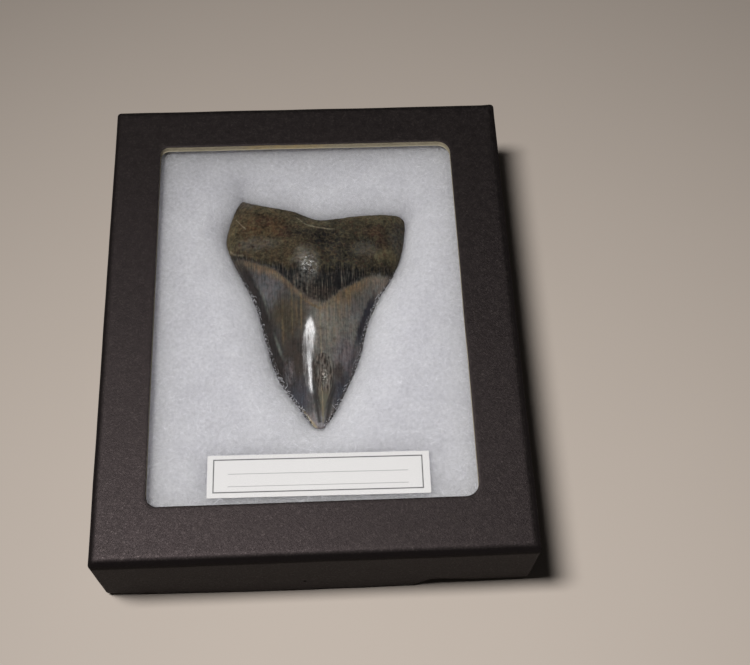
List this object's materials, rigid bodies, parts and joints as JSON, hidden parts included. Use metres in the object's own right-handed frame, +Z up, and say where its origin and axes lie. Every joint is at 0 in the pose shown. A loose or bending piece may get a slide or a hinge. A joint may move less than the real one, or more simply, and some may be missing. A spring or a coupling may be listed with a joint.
{
  "type": "fossil shark tooth in a glazed display box",
  "caption": "Large fossil shark tooth lying root end up on white batting in a black card display box with a glazed window and a blank label card.",
  "frame": {"origin": "centre of the box's underside, on the surface that it stands on", "axes": "+X across the box's width, +Y from the label end to the root end of the tooth, +Z up through the window"},
  "size_m": [0.1142, 0.1412, 0.0287],
  "materials": {
    "tray_card": "black paper over grey board, matt",
    "lid_paper": "black paper with a fine fibrous grain and a broad low sheen",
    "pane_glass": "clear and smooth",
    "batting": "white loose polyester fibre",
    "fossil": "glossy grey enamel with brown streaks, dull mottled brown root",
    "label_card": "smooth white card with a thin printed border"
  },
  "bodies": {
    "root": {"base": "tray_card", "lid": "lid_paper", "pane": "pane_glass", "fibre_pad": "batting", "tooth": "fossil", "label": "label_card"}
  },
  "joints": []
}
